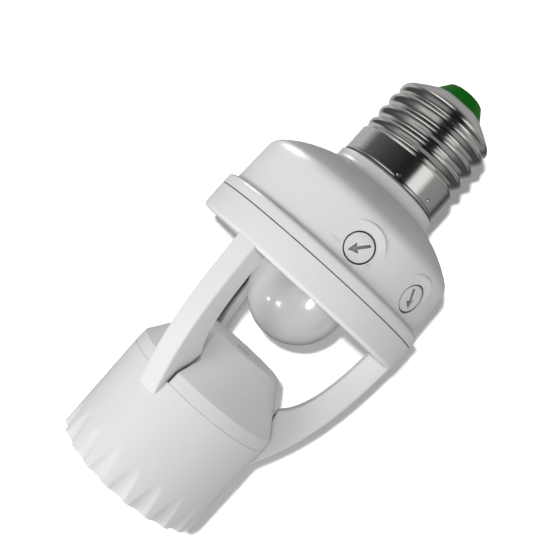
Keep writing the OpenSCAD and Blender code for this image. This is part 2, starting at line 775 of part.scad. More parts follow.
lower_frame();
socket_roof();
upper_housing();
cap_shell();
cap_insulator();
cap_contact();
lens_dome();
circuit_board();
pir_sensor();
pir_window();
light_sensor();
relay();
film_capacitor();
smoothing_capacitor();
bridge_rectifier();
control_chip();
time_trimmer();
light_trimmer();
time_knob();
light_knob();
housing_screws();
socket_base();
socket_shell();
centre_contact();
shell_bracket_a();
shell_bracket_b();
bracket_screws();
supply_lead_live();
supply_lead_neutral();
lamp_lead_live();
lamp_lead_neutral();
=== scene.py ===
import json
import math
import bmesh
import bpy
from mathutils import Matrix, Vector
from mathutils.geometry import interpolate_bezier


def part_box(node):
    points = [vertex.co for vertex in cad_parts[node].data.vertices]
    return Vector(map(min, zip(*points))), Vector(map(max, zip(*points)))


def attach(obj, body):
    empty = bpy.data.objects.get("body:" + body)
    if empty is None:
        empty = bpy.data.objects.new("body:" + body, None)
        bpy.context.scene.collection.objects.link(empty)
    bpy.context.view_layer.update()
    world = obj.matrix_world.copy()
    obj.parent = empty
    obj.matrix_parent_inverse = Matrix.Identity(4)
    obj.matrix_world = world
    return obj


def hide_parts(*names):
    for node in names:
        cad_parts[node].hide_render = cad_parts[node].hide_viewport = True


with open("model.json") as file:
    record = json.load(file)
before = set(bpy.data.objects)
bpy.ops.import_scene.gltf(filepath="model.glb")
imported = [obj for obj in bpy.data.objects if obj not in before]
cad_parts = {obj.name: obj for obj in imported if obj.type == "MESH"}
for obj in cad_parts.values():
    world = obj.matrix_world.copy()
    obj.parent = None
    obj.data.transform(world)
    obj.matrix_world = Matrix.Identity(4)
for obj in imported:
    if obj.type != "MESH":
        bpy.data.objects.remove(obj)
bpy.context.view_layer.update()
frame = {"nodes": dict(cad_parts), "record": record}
nodes = frame["nodes"]
scene = bpy.context.scene
mm = 0.001
print("frame loaded:", len(nodes), "nodes")


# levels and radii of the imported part, in mm
def endOf(node, end):
    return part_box(node)[end].z / mm


seamZ = endOf("lower_frame", 1)
skirtZ = endOf("cap_shell", 0)
coneTopZ = endOf("cap_shell", 1)
tipZ = endOf("cap_insulator", 1)
roofTopZ = endOf("socket_roof", 1)
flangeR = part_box("upper_housing")[1].x / mm
armBearings = (-30, 90)
ductBearing = 210
screwBearings = (27.5, 147.5, 267.5)
past = 1  # how far a cutter stands past what it cuts
into = 0.5  # how far a joined shape reaches into its neighbour
sharpCorner = 33  # degrees, from here on an edge isn't shaded smooth


# modelling helpers, all in mm until the piece is added

def turned(bearing):
    # a shape drawn along +X comes to a bearing, counted from the front
    return Matrix.Rotation(math.radians(bearing - 90), 4, "Z")


def rounded(corners, steps=6):
    # corners are (x, z) or (x, z, radius)
    loop = []
    for i, corner in enumerate(corners):
        here = Vector(corner[:2])
        radius = corner[2] if len(corner) > 2 else 0
        if radius == 0:
            loop.append(here)
            continue
        back = (Vector(corners[i - 1][:2]) - here).normalized()
        ahead = (Vector(corners[(i + 1) % len(corners)][:2]) - here).normalized()
        half = back.angle(ahead) / 2
        centre = here + (back + ahead).normalized() * radius / math.sin(half)
        first = (here + back * radius / math.tan(half) - centre).normalized()
        last = (here + ahead * radius / math.tan(half) - centre).normalized()
        loop += [centre + first.slerp(last, k / steps) * radius for k in range(steps + 1)]
    return [(p.x, p.y) for p in loop]


def spun(profile, steps=256, isRing=True):
    # a closed ring round the axis, or a skin whose ends lie on the axis
    bm = bmesh.new()
    verts = [bm.verts.new((x, 0, z)) for x, z in profile]
    pairs = list(zip(verts, verts[1:]))
    if isRing:
        pairs.append((verts[-1], verts[0]))
    edges = [bm.edges.new(pair) for pair in pairs]
    bmesh.ops.spin(bm, geom=verts + edges, cent=(0, 0, 0), axis=(0, 0, 1),
                   angle=2 * math.pi, steps=steps, use_merge=True)
    tidied(bm)
    return bm


def tidied(bm, gap=0.0005):
    bmesh.ops.remove_doubles(bm, verts=bm.verts, dist=gap)
    bmesh.ops.dissolve_degenerate(bm, edges=bm.edges, dist=gap)
    bmesh.ops.recalc_face_normals(bm, faces=bm.faces)
    return bm


def drawnOut(bm, faces, step):
    # extrudes the faces by a step
    grown = bmesh.ops.extrude_face_region(bm, geom=faces)
    ends = [g for g in grown["geom"] if isinstance(g, bmesh.types.BMVert)]
    bmesh.ops.translate(bm, vec=step, verts=ends)
    return bm


def plate(outline, low, high):
    # a side view, drawn as (distance from the axis, height), stood up as a plate
    bm = bmesh.new()
    face = bm.faces.new([bm.verts.new((x, low, z)) for x, z in outline])
    drawnOut(bm, [face], (0, high - low, 0))
    bmesh.ops.recalc_face_normals(bm, faces=bm.faces)
    return bm


def rod(radius, low, high, place=(0, 0), steps=64, topRadius=None):
    bm = bmesh.new()
    bmesh.ops.create_cone(bm, cap_ends=True, segments=steps, radius1=radius,
                          radius2=radius if topRadius is None else topRadius, depth=high - low)
    bmesh.ops.translate(bm, vec=(place[0], place[1], (low + high) / 2), verts=bm.verts)
    return bm


def block(low, high):
    bm = bmesh.new()
    bmesh.ops.create_cube(bm, size=1)
    size = Vector(high) - Vector(low)
    bmesh.ops.scale(bm, vec=size, verts=bm.verts)
    bmesh.ops.translate(bm, vec=(Vector(low) + Vector(high)) / 2, verts=bm.verts)
    return bm


def moved(bm, matrix):
    bmesh.ops.transform(bm, matrix=matrix, verts=bm.verts)
    return bm


def pulledIn(vert, cutAt):
    # moves a vertex towards the axis by the cut at its angle and height
    radius = math.hypot(vert.co.x, vert.co.y)
    angle = math.degrees(math.atan2(vert.co.y, vert.co.x))
    share = 1 - cutAt(angle, vert.co.z) / radius
    vert.co.x *= share
    vert.co.y *= share


def softened(bm, edges, radius, steps=3):
    bmesh.ops.bevel(bm, geom=edges, offset=radius, offset_type="OFFSET", segments=steps,
                    profile=0.5, affect="EDGES", material=-1)
    return bm


def together(parts):
    # several shapes in one mesh
    bm = bmesh.new()
    for part in parts:
        mesh = bpy.data.meshes.new("part")
        part.to_mesh(mesh)
        part.free()
        bm.from_mesh(mesh)
        bpy.data.meshes.remove(mesh)
    return bm


def asObject(bm, name):
    mesh = bpy.data.meshes.new(name)
    bm.to_mesh(mesh)
    bm.free()
    made = bpy.data.objects.new(name, mesh)
    scene.collection.objects.link(made)
    return made


def worked(bm, steps):
    # steps are (UNION or DIFFERENCE, shape), done one after another
    base = asObject(bm, "base")
    for kind, shape in steps:
        tool = asObject(shape, "tool")
        cut = base.modifiers.new("cut", "BOOLEAN")
        cut.operation = kind
        cut.solver = "EXACT"
        cut.object = tool
        seen = base.evaluated_get(bpy.context.evaluated_depsgraph_get())
        mesh = bpy.data.meshes.new_from_object(seen)
        base.modifiers.clear()
        base.data = mesh
        bpy.data.objects.remove(tool)
    done = bmesh.new()
    done.from_mesh(base.data)
    bpy.data.objects.remove(base)
    return tidied(done, 0.0002)  # finer than usual, so that thin cuts stay open


def addPiece(name, bm, finish, body, stands):
    sharp = math.radians(sharpCorner)
    for face in bm.faces:
        face.smooth = True
    for edge in bm.edges:
        edge.smooth = len(edge.link_faces) == 2 and edge.calc_face_angle(0) < sharp
    bmesh.ops.scale(bm, vec=(mm, mm, mm), verts=bm.verts)
    piece = asObject(bm, name)
    piece.data.materials.append(finish)
    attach(piece, body)
    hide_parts(*stands)
    print("made", name, len(piece.data.polygons), "faces")
    return piece


# finishes

def shaderOf(name):
    material = bpy.data.materials.new(name)
    material.use_nodes = True
    tree = material.node_tree
    return material, tree, tree.nodes["Principled BSDF"]


def wired(tree, kind, links, values=None):
    # a node with some inputs linked and others set
    made = tree.nodes.new("ShaderNode" + kind)
    for socket, value in (values or {}).items():
        made.inputs[socket].default_value = value
    for socket, source in links.items():
        tree.links.new(source, made.inputs[socket])
    return made


def reckoned(tree, operation, *values):
    # a sum on sockets and numbers
    made = tree.nodes.new("ShaderNodeMath")
    made.operation = operation
    for socket, value in zip(made.inputs, values):
        if isinstance(value, bpy.types.NodeSocket):
            tree.links.new(value, socket)
        else:
            socket.default_value = value
    return made.outputs[0]


def emptyTree(owner):
    owner.use_nodes = True
    owner.node_tree.nodes.clear()
    return owner.node_tree


speckle = {"detail": 4, "glossSpread": 0.1, "reliefDepth": 0.00005, "coatRough": 0.08}


def speckled(name, look):
    # a noise on Object coordinates drives a slight change of shade, gloss and relief
    material, tree, shader = shaderOf(name)
    place = tree.nodes.new("ShaderNodeTexCoord").outputs["Object"]
    grain = wired(tree, "TexNoise", {"Vector": place},
                  {"Scale": look["grain"], "Detail": speckle["detail"]}).outputs["Fac"]
    shade = tree.nodes.new("ShaderNodeMix")
    shade.data_type = "RGBA"
    light = look["colour"]
    shade.inputs["A"].default_value = (*[c * (1 - look["mottle"]) for c in light], 1)
    shade.inputs["B"].default_value = (*light, 1)
    tree.links.new(grain, shade.inputs["Factor"])
    tree.links.new(shade.outputs["Result"], shader.inputs["Base Color"])
    spread = speckle["glossSpread"]
    gloss = wired(tree, "MapRange", {"Value": grain}, {"To Min": look["rough"] * (1 - spread),
                                                       "To Max": look["rough"] * (1 + spread)})
    tree.links.new(gloss.outputs["Result"], shader.inputs["Roughness"])
    relief = wired(tree, "Bump", {"Height": grain},
                   {"Strength": look["relief"], "Distance": speckle["reliefDepth"]})
    tree.links.new(relief.outputs["Normal"], shader.inputs["Normal"])
    shader.inputs["Metallic"].default_value = look.get("metal", 0)
    shader.inputs["Coat Weight"].default_value = look.get("coat", 0)
    shader.inputs["Coat Roughness"].default_value = speckle["coatRough"]
    return material, shader


def whitePlastic():
    # narrow seams and recesses get painted shade: their colour is darkened, as the moulding's shadows
    # are in close light
    look = {"colour": (0.76, 0.76, 0.755), "mottle": 0.03, "rough": 0.42, "grain": 700,
            "relief": 0.12, "crevice": 0.0012, "creviceShade": 0.35, "shutIn": 0.3, "inTheOpen": 0.85}
    material, shader = speckled("whitePlastic", look)
    tree = material.node_tree
    crevice = wired(tree, "AmbientOcclusion", {}, {"Distance": look["crevice"]})
    crevice.samples = 8
    paintedShade = wired(tree, "MapRange", {"Value": crevice.outputs["AO"]},
                    {"From Min": look["shutIn"], "From Max": look["inTheOpen"],
                     "To Min": look["creviceShade"]})
    # the base colour is scaled down by the painted shade
    plain = shader.inputs["Base Color"].links[0].from_socket
    shade = wired(tree, "VectorMath", {0: plain})
    shade.operation = "SCALE"
    tree.links.new(paintedShade.outputs["Result"], shade.inputs["Scale"])
    tree.links.new(shade.outputs["Vector"], shader.inputs["Base Color"])
    return material


def brightNickel():
    look = {"colour": (0.74, 0.73, 0.71), "mottle": 0.08, "rough": 0.14, "grain": 260,
            "relief": 0.25, "metal": 1}
    return speckled("brightNickel", look)[0]


def greenInsulator():
    look = {"colour": (0.006, 0.19, 0.008), "mottle": 0.12, "rough": 0.35, "grain": 500,
            "relief": 0.1}
    material, shader = speckled("greenInsulator", look)
    shader.inputs["Specular IOR Level"].default_value = 0.07
    return material


def brass():
    look = {"colour": (0.78, 0.55, 0.2), "mottle": 0.15, "rough": 0.22, "grain": 600,
            "relief": 0.2, "metal": 1}
    return speckled("contactBrass", look)[0]


def milkyLens():
    look = {"colour": (0.76, 0.765, 0.76), "mottle": 0.05, "rough": 0.3, "grain": 120,
            "relief": 0.05, "coat": 0.9}
    material, shader = speckled("milkyLens", look)
    shader.inputs["Transmission Weight"].default_value = 0.2
    shader.inputs["IOR"].default_value = 1.49
    return material


def boardGreen():
    look = {"colour": (0.03, 0.17, 0.07), "mottle": 0.25, "rough": 0.35, "grain": 900,
            "relief": 0.2}
    return speckled("boardGreen", look)[0]


def canSteel():
    look = {"colour": (0.62, 0.62, 0.64), "mottle": 0.08, "rough": 0.25, "grain": 800,
            "relief": 0.15, "metal": 1}
    return speckled("canSteel", look)[0]


def darkWindow():
    look = {"colour": (0.03, 0.03, 0.04), "mottle": 0.1, "rough": 0.15, "grain": 300, "relief": 0}
    return speckled("darkWindow", look)[0]


def photocell():
    look = {"colour": (0.7, 0.38, 0.2), "mottle": 0.3, "rough": 0.5, "grain": 1500, "relief": 0.3}
    return speckled("photocellFace", look)[0]


def mouldedBlue(name, colour):
    look = {"colour": colour, "mottle": 0.1, "rough": 0.35, "grain": 500, "relief": 0.1}
    return speckled(name, look)[0]


def filmYellow():
    look = {"colour": (0.8, 0.52, 0.06), "mottle": 0.1, "rough": 0.35, "grain": 500, "relief": 0.1}
    return speckled("filmYellow", look)[0]


def blackMoulding():
    look = {"colour": (0.025, 0.025, 0.025), "mottle": 0.3, "rough": 0.45, "grain": 800,
            "relief": 0.3}
    return speckled("blackMoulding", look)[0]


def screwSteel():
    look = {"colour": (0.32, 0.32, 0.31), "mottle": 0.3, "rough": 0.32, "grain": 1200,
            "relief": 0.4, "metal": 1}
    return speckled("screwSteel", look)[0]


def baseInsulator():
    look = {"colour": (0.42, 0.42, 0.43), "mottle": 0.1, "rough": 0.55, "grain": 900, "relief": 0.4}
    return speckled("baseInsulator", look)[0]


def socketAluminium():
    look = {"colour": (0.82, 0.82, 0.83), "mottle": 0.08, "rough": 0.18, "grain": 400,
            "relief": 0.2, "metal": 1}
    return speckled("socketAluminium", look)[0]


def leadSleeve():
    look = {"colour": (0.02, 0.02, 0.02), "mottle": 0.2, "rough": 0.5, "grain": 900, "relief": 0.3}
    return speckled("leadSleeve", look)[0]


finishes = {
    "white_plastic": whitePlastic(), "cap_metal": brightNickel(),
    "green_insulator": greenInsulator(), "contact_brass": brass(), "lens_plastic": milkyLens(),
    "board_green": boardGreen(), "can_steel": canSteel(), "dark_window": darkWindow(),
    "photocell": photocell(), "relay_blue": mouldedBlue("relayBlue", (0.04, 0.13, 0.5)),
    "film_yellow": filmYellow(), "black_plastic": blackMoulding(),
    "trimmer_blue": mouldedBlue("trimmerBlue", (0.08, 0.2, 0.5)), "screw_steel": screwSteel(),
    "base_insulator": baseInsulator(), "socket_aluminium": socketAluminium(),
    "lead_sleeve": leadSleeve(),
}
for part in frame["record"]["subparts"]:
    mesh = nodes[part["node"]].data
    mesh.materials.clear()
    mesh.materials.append(finishes[part["material_slot"]])
print("finishes made:", len(finishes))


# lower frame: flange band, three arms and the fluted cup

cup = {"mouthR": 19.05, "topR": 19.4, "height": 24.9, "wall": 2, "lip": 0.5, "entryR": 15.4,
       "entryH": 6.5, "entryRound": 1, "sleeveR": 14.1, "sleeveWall": 1.5, "baseZ": 21.75,
       "shelf": 1, "fillet": 0.3, "lipIn": 0.01, "rimBreak": 0.08, "voidDraft": 0.2,
       "plainRows": [14, 16, 18, 20, 22]}
flute = {"count": 20, "phase": -88.5, "depth": 1, "height": 7.2, "radius": 3.4, "soft": 0.12,
         "overrun": 0.1, "stepsEach": 24, "firstRow": 0.9, "rowStep": 0.4, "rows": 30}
arm = {"width": 5.4, "topR": flangeR - 0.08, "lean": 3.5, "tuck": 27, "hook": 50, "depth": 5.6,
       "outerPull": (0.45, 0.34), "innerPull": (0.58, 0.21), "wall": 1.7, "sideWall": 1.2,
       "footDrop": 4.3, "rootR": 16.1, "rootRise": 9.2, "seatIn": 1, "seatRise": 0.4,
       "edge": 0.45, "crossCuts": 7, "ductExtra": 3.2, "ductStep": 1.9, "ductStepDepth": 1.2,
       "ductShift": 0.9}
# the channel reaches further in than the arm does, so it is open towards the axis
channel = {"footRise": 0.3, "inward": 4, "bendRise": (8, 12), "mouthIn": 2.5, "intoFlange": 0.6}
flange = {"lowBand": 6.6, "floor": 2, "edge": 1, "wall": 2, "lensHoleR": 12.15, "lensX": 1.5,
          "screwRingR": 21, "bossR": 2.8, "boardLift": 2.5, "counterboreR": 2.36, "holeR": 1.45,
          "floorHoleR": 9.6, "fillet": 0.4, "groove": 0.6, "grooveHalf": 0.12, "grooveBreak": 0.04}
floorZ = seamZ - flange["lowBand"]
floorTopZ = floorZ + flange["floor"]
boardZ = floorTopZ + flange["boardLift"]


def wallOfCup(z):
    return cup["mouthR"] + (cup["topR"] - cup["mouthR"]) * z / cup["height"]


def fluteDepth(angle, z):
    # how deep the nearest flute cuts at this angle and height
    z = max(z, cup["lip"])
    pitch = 360 / flute["count"]
    off = math.radians((angle - flute["phase"] + pitch / 2) % pitch - pitch / 2)
    rise = flute["height"] + cup["height"] * flute["overrun"]
    lean = (flute["depth"] + cup["topR"] - cup["mouthR"]) / rise
    centre = cup["mouthR"] - flute["depth"] + flute["radius"] + z * lean
    under = flute["radius"] ** 2 - (centre * math.sin(off)) ** 2
    if under <= 0:
        return 0
    cut = centre * math.cos(off) - math.sqrt(under)
    wallR = wallOfCup(z)
    near = max(flute["soft"] - abs(wallR - cut), 0) / flute["soft"]
    return wallR - min(wallR, cut) + near * near * flute["soft"] / 4


def flutedCup():
    voidR = cup["topR"] - cup["wall"]
    sleeveOutR = cup["sleeveR"] + cup["sleeveWall"]
    shelfZ = cup["entryH"] + cup["shelf"]
    rim, fillet = cup["rimBreak"], cup["fillet"]
    fluteRows = [flute["firstRow"] + flute["rowStep"] * i for i in range(flute["rows"])]
    corners = rounded([(cup["entryR"], 0, cup["entryRound"]),
                       (cup["mouthR"] - cup["lipIn"], 0, cup["lip"])]
                      + [(wallOfCup(z), z) for z in fluteRows + cup["plainRows"]]
                      + [(cup["topR"], cup["height"] - rim), (cup["topR"] - rim, cup["height"]),
                         (voidR, cup["height"]), (voidR - cup["voidDraft"], shelfZ),
                         (sleeveOutR, shelfZ), (sleeveOutR, cup["baseZ"]),
                         (cup["sleeveR"], cup["baseZ"]), (cup["sleeveR"], cup["entryH"], fillet),
                         (cup["entryR"], cup["entryH"], fillet)])
    bm = spun(corners, flute["count"] * flute["stepsEach"])
    skinR = cup["mouthR"] - cup["lip"] - 0.1
    for vert in bm.verts:
        # the flutes are cut into the lower half of the outer skin
        if math.hypot(vert.co.x, vert.co.y) > skinR and vert.co.z < cup["height"] / 2 + 1:
            pulledIn(vert, fluteDepth)
    return bm


def armOuter(inset, steps=36):
    footZ = cup["height"] - arm["footDrop"]
    span = floorZ - footZ
    top = Vector((arm["topR"] - inset, floorZ))
    foot = Vector((cup["topR"] - inset, footZ))
    lean, tuck = math.radians(arm["lean"]), math.radians(arm["tuck"])
    down, up = arm["outerPull"]
    return interpolate_bezier(top, top - down * span * Vector((math.sin(lean), math.cos(lean))),
                              foot + up * span * Vector((math.sin(tuck), math.cos(tuck))),
                              foot, steps)


def armInner(inset, steps=36):
    rootZ = cup["height"] + arm["rootRise"]
    span = floorZ - rootZ
    top = Vector((arm["topR"] - arm["depth"] + inset, floorZ))
    root = Vector((arm["rootR"] + inset, rootZ))
    lean, hook = math.radians(arm["lean"]), math.radians(arm["hook"])
    down, up = arm["innerPull"]
    return interpolate_bezier(top, top - down * span * Vector((math.sin(lean), math.cos(lean))),
                              root + up * span * Vector((math.sin(hook), math.cos(hook))),
                              root, steps)


def armBody(low, high, inset=0):
    up = floorZ + flange["floor"] / 2
    inCup = cup["topR"] - cup["wall"] / 2
    outline = [(arm["topR"], up)] + [tuple(p) for p in armOuter(0)]
    outline += [(inCup, cup["height"] - arm["footDrop"]), (inCup, cup["height"] - 1),
                (arm["rootR"] + arm["seatIn"], cup["height"] + arm["seatRise"])]
    outline += [tuple(p) for p in reversed(armInner(inset))]
    outline += [(arm["topR"] - arm["depth"] + inset, up)]
    bm = plate(outline, low, high)
    rim = [e for e in bm.edges if abs(e.verts[0].co.y - e.verts[1].co.y) < 0.01]
    softened(bm, rim, arm["edge"], 4)
    across = [e for e in bm.edges if abs(e.verts[0].co.y - e.verts[1].co.y) > arm["width"] / 4]
    bmesh.ops.subdivide_edges(bm, edges=across, cuts=arm["crossCuts"], use_grid_fill=True)
    for vert in bm.verts:
        # the arm's faces are round the axis, as the flange is
        vert.co.x = math.sqrt(vert.co.x ** 2 - vert.co.y ** 2)
    return bm


def armChannel(low, high, top):
    footZ = cup["height"] + channel["footRise"]
    bendZ = [cup["height"] + arm["rootRise"] + rise for rise in channel["bendRise"]]
    inR = arm["rootR"] - channel["inward"]
    mouthR = arm["topR"] - arm["depth"] - channel["mouthIn"]
    outline = [(arm["topR"] - arm["wall"], top), (arm["topR"] - arm["wall"], floorZ)]
    outline += [tuple(p) for p in armOuter(arm["wall"]) if footZ < p.y < floorZ - 1]
    outline += [(cup["topR"] - cup["wall"], footZ), (inR, footZ), (inR, bendZ[0]),
                (mouthR, bendZ[1]), (mouthR, top)]
    return plate(outline, low, high)


def seamEdge(side):
    # the groove at the flange's seam, from outside in, below it (-1) or above it (1)
    grooveR = flangeR - flange["groove"]
    half, soft = flange["grooveHalf"], flange["grooveBreak"]
    return [(flangeR, seamZ + side * (half + soft)), (flangeR - soft, seamZ + side * half),
            (grooveR, seamZ + side * half), (grooveR - soft / 2, seamZ)]


def flangeBand():
    inR, holeR = flangeR - flange["wall"], flange["floorHoleR"]
    ring = spun(rounded([(holeR, floorTopZ), (holeR, floorZ), (flangeR, floorZ, flange["edge"])]
                        + seamEdge(-1) + [(inR, seamZ), (inR, floorTopZ, flange["fillet"])]))
    posts, bores, holes = [], [], []
    for bearing in screwBearings:
        at = turned(bearing) @ Matrix.Translation((flange["screwRingR"], 0, 0))
        posts.append(moved(rod(flange["bossR"], floorZ + into, boardZ), at))
        bores.append(moved(rod(flange["counterboreR"], floorZ - past, floorTopZ), at))
        holes.append(moved(rod(flange["holeR"], floorTopZ - into, boardZ + past), at))
    lensHole = rod(flange["lensHoleR"], floorZ - past, floorTopZ + past, (flange["lensX"], 0), 128)
    return worked(ring, [("UNION", together(posts)), ("DIFFERENCE", together(bores + [lensHole])),
                         ("DIFFERENCE", together(holes))])


def lowerFrame():
    half = arm["width"] / 2
    inside = half - arm["sideWall"]
    arms, channels = [], []
    for bearing in armBearings:
        arms.append(moved(armBody(-half, half), turned(bearing)))
        channels.append(moved(armChannel(-inside, inside, floorZ + channel["intoFlange"]),
                              turned(bearing)))
    wide = half + arm["ductExtra"]
    duct = moved(armBody(arm["ductStep"] - wide, half), turned(ductBearing))
    edge = moved(armBody(-wide, -half, arm["ductStepDepth"]), turned(ductBearing))
    channels.append(moved(armChannel(-inside - arm["ductShift"], inside, floorTopZ + past),
                          turned(ductBearing)))
    steps = [("UNION", shape) for shape in arms + [duct, edge, flutedCup()]]
    steps += [("DIFFERENCE", together(channels))]
    return worked(flangeBand(), steps)


addPiece("lowerFrame", lowerFrame(), finishes["white_plastic"], "holder",
         ["lower_frame"])


# socket roof: a conical cover, slotted for the arms

# the notch is the leads' way in from the duct, and both cuts are boxes given by two corners
roof = {"bandH": 3, "topR": 11.3, "wall": 1.6, "slotGap": 0.6, "edge": 1.4, "bandEdge": 0.3,
        "fit": 0.15, "rimBreak": 0.1, "spigotH": 1.5, "seatR": (15.5, 15.9), "seatDrop": 0.6,
        "topIn": 1, "slotFrom": -3, "slotTo": 17.5, "slotDeep": 10,
        "notch": ((-4, -3.4, 1.85), (1, 3, 6.85)), "topSlot": ((-0.9, -6, -2.4), (2.3, -2.4, 2.4))}


def socketRoof():
    low = cup["height"]
    bandZ = low + roof["bandH"]
    spigotZ = low - roof["spigotH"]
    ceilingZ = roofTopZ - roof["wall"]
    rimR = cup["topR"]
    footR = rimR - roof["fit"]
    inR = rimR - cup["wall"] - roof["fit"]
    lowSeatR, highSeatR = roof["seatR"]
    coneRows = [(roof["topR"] + (footR - roof["topR"]) * t, roofTopZ + (bandZ - roofTopZ) * t)
                for t in (0.2, 0.4, 0.6, 0.8)]
    cone = spun(rounded([(0, roofTopZ), (roof["topR"], roofTopZ, roof["edge"])] + coneRows
                        + [(footR, bandZ, roof["bandEdge"]), (rimR, low + roof["rimBreak"]),
                           (rimR - roof["rimBreak"], low), (inR, low), (inR, spigotZ),
                           (lowSeatR, spigotZ), (highSeatR, bandZ - roof["seatDrop"]),
                           (roof["topR"] - roof["topIn"], ceilingZ), (0, ceilingZ)]), isRing=False)
    half = arm["width"] / 2 + roof["slotGap"]
    slots = []
    for bearing in armBearings + (ductBearing,):
        extra = arm["ductExtra"] if bearing == ductBearing else 0
        near = (arm["rootR"] - roof["slotGap"], -half - extra, low + roof["slotFrom"])
        far = (arm["rootR"] + roof["slotDeep"], half, low + roof["slotTo"])
        slots.append(moved(block(near, far), turned(bearing)))
    root, top = Vector((arm["rootR"], 0, low)), Vector((0, 0, roofTopZ))
    notch = moved(block(*[root + Vector(corner) for corner in roof["notch"]]), turned(ductBearing))
    topSlot = block(*[top + Vector(corner) for corner in roof["topSlot"]])
    return worked(cone, [("DIFFERENCE", together(slots)),
                         ("DIFFERENCE", together([notch, topSlot]))])


addPiece("socketRoof", socketRoof(), finishes["white_plastic"], "holder",
         ["socket_roof"])


# upper housing: flange band, drum, domed shoulder and neck

housing = {"upBand": 2.9, "footR": 26.95, "topR": 26.55, "drumH": 12, "shoulderH": 6.9,
           "neckR": 13.5, "neckGap": 0.5, "wall": 2, "fillet": 0.3, "fit": 0.15, "spigotH": 2,
           "creaseRound": 4, "neckRound": 1.8, "neckEdge": 0.12, "turnIn": (14, 16), "pull": 0.33,
           "thinning": 0.55, "footGroove": ((0.35, 0, 0.1), (0.12, -0.3), (-0.02, 0.12)),
           "capBossR": 12.5, "capBossH": 6, "wireHoleR": 4, "bossH": 7, "screwHoleR": 1.35,
           "ribInset": 1, "boardT": 1.6}
# bearings are places round the drum, arrows are turns in the knob's face
knob = {"radius": 3.15, "gap": 0.3, "rise": 4.5, "sunk": 0.12, "thick": 2.2, "seatFromR": 16,
        "stemR": 1.5, "stemH": 3.95, "edge": 0.18,
        "bearings": {"time_knob": 8.3, "light_knob": 46.8},
        "arrows": {"time_knob": 229, "light_knob": 306}}
arrowCut = {"depth": 1.0, "ends": 0.75, "shaft": 0.33, "neck": 1.9, "head": 2.1, "barb": 0.8}
surround = {"inR": 3.62, "topR": 5.45, "outR": 5.78, "from": 12, "to": 135, "fade": 34,
            "rise": 0.24, "foot": 0.02, "root": 0.5}
# minus and plus, each with its bearing and width
marks = {"rise": 2.6, "proud": 0.22, "root": 0.4, "bar": 0.42,
         "minus": (-2.5, 2.2), "plus": (16.6, 1.5)}
drumZ = seamZ + housing["upBand"]
creaseZ = drumZ + housing["drumH"]
neckZ = creaseZ + housing["shoulderH"]
knobZ = drumZ + knob["rise"]
drumR = (housing["footR"] + housing["topR"]) / 2
knobFaceR = drumR - knob["sunk"]


def atKnob(bearing):
    # a shape drawn as seen from outside, with +Z out of the drum
    return (turned(bearing) @ Matrix.Translation((0, 0, knobZ))
            @ Matrix.Rotation(math.radians(90), 4, "Y") @ Matrix.Rotation(math.radians(90), 4, "Z"))


def hugged(bm):
    # lays a flat shape, drawn round z = 0, on the drum
    for vert in bm.verts:
        vert.co.z += math.sqrt(drumR ** 2 - vert.co.x ** 2)
    return bm


def shoulderCurve(steps):
    start = Vector((housing["topR"], creaseZ))
    end = Vector((housing["neckR"], neckZ))
    run = (end - start).length
    slope = math.atan2(end.y - start.y, start.x - end.x)
    first = slope + math.radians(housing["turnIn"][0])
    last = slope - math.radians(housing["turnIn"][1])
    pull = housing["pull"] * run
    return interpolate_bezier(start, start + pull * Vector((-math.cos(first), math.sin(first))),
                              end + pull * Vector((math.cos(last), -math.sin(last))), end, steps)


def knobArc():
    # a crescent over the knob that slopes up to its outer edge and fades at both ends
    bm = bmesh.new()
    bmesh.ops.create_grid(bm, x_segments=72, y_segments=14, size=0.5)
    spread = surround["to"] - surround["from"]
    for vert in bm.verts:
        along, across = vert.co.x + 0.5, vert.co.y + 0.5
        angle = surround["from"] + spread * along
        radius = surround["inR"] + (surround["outR"] - surround["inR"]) * across
        ends = min(along, 1 - along) * spread / surround["fade"]
        fall = (surround["outR"] - radius) / (surround["outR"] - surround["topR"])
        climb = (radius - surround["inR"]) / (surround["topR"] - surround["inR"])
        height = surround["rise"] * min(1, ends) * min(climb, fall)
        vert.co = Vector((radius * math.cos(math.radians(angle)),
                          radius * math.sin(math.radians(angle)), height - surround["foot"]))
    return hugged(tidied(drawnOut(bm, bm.faces[:], (0, 0, -surround["root"]))))


def signBar(width, height):
    bm = bmesh.new()
    bmesh.ops.create_grid(bm, x_segments=12, y_segments=2, size=0.5)
    bmesh.ops.scale(bm, vec=(width, height, 1), verts=bm.verts)
    drawnOut(bm, bm.faces[:], (0, 0, marks["proud"] + marks["root"]))
    bmesh.ops.translate(bm, vec=(0, 0, -marks["root"]), verts=bm.verts)
    return hugged(tidied(bm))


def signs():
    bars = []
    drop = Matrix.Translation((0, 0, marks["rise"] - knob["rise"]))
    for bearing, width in (marks["minus"], marks["plus"]):
        bars.append(moved(signBar(width, marks["bar"]), drop @ atKnob(bearing)))
    upright = signBar(marks["bar"], marks["plus"][1])
    bars.append(moved(upright, drop @ atKnob(marks["plus"][0])))
    return bars


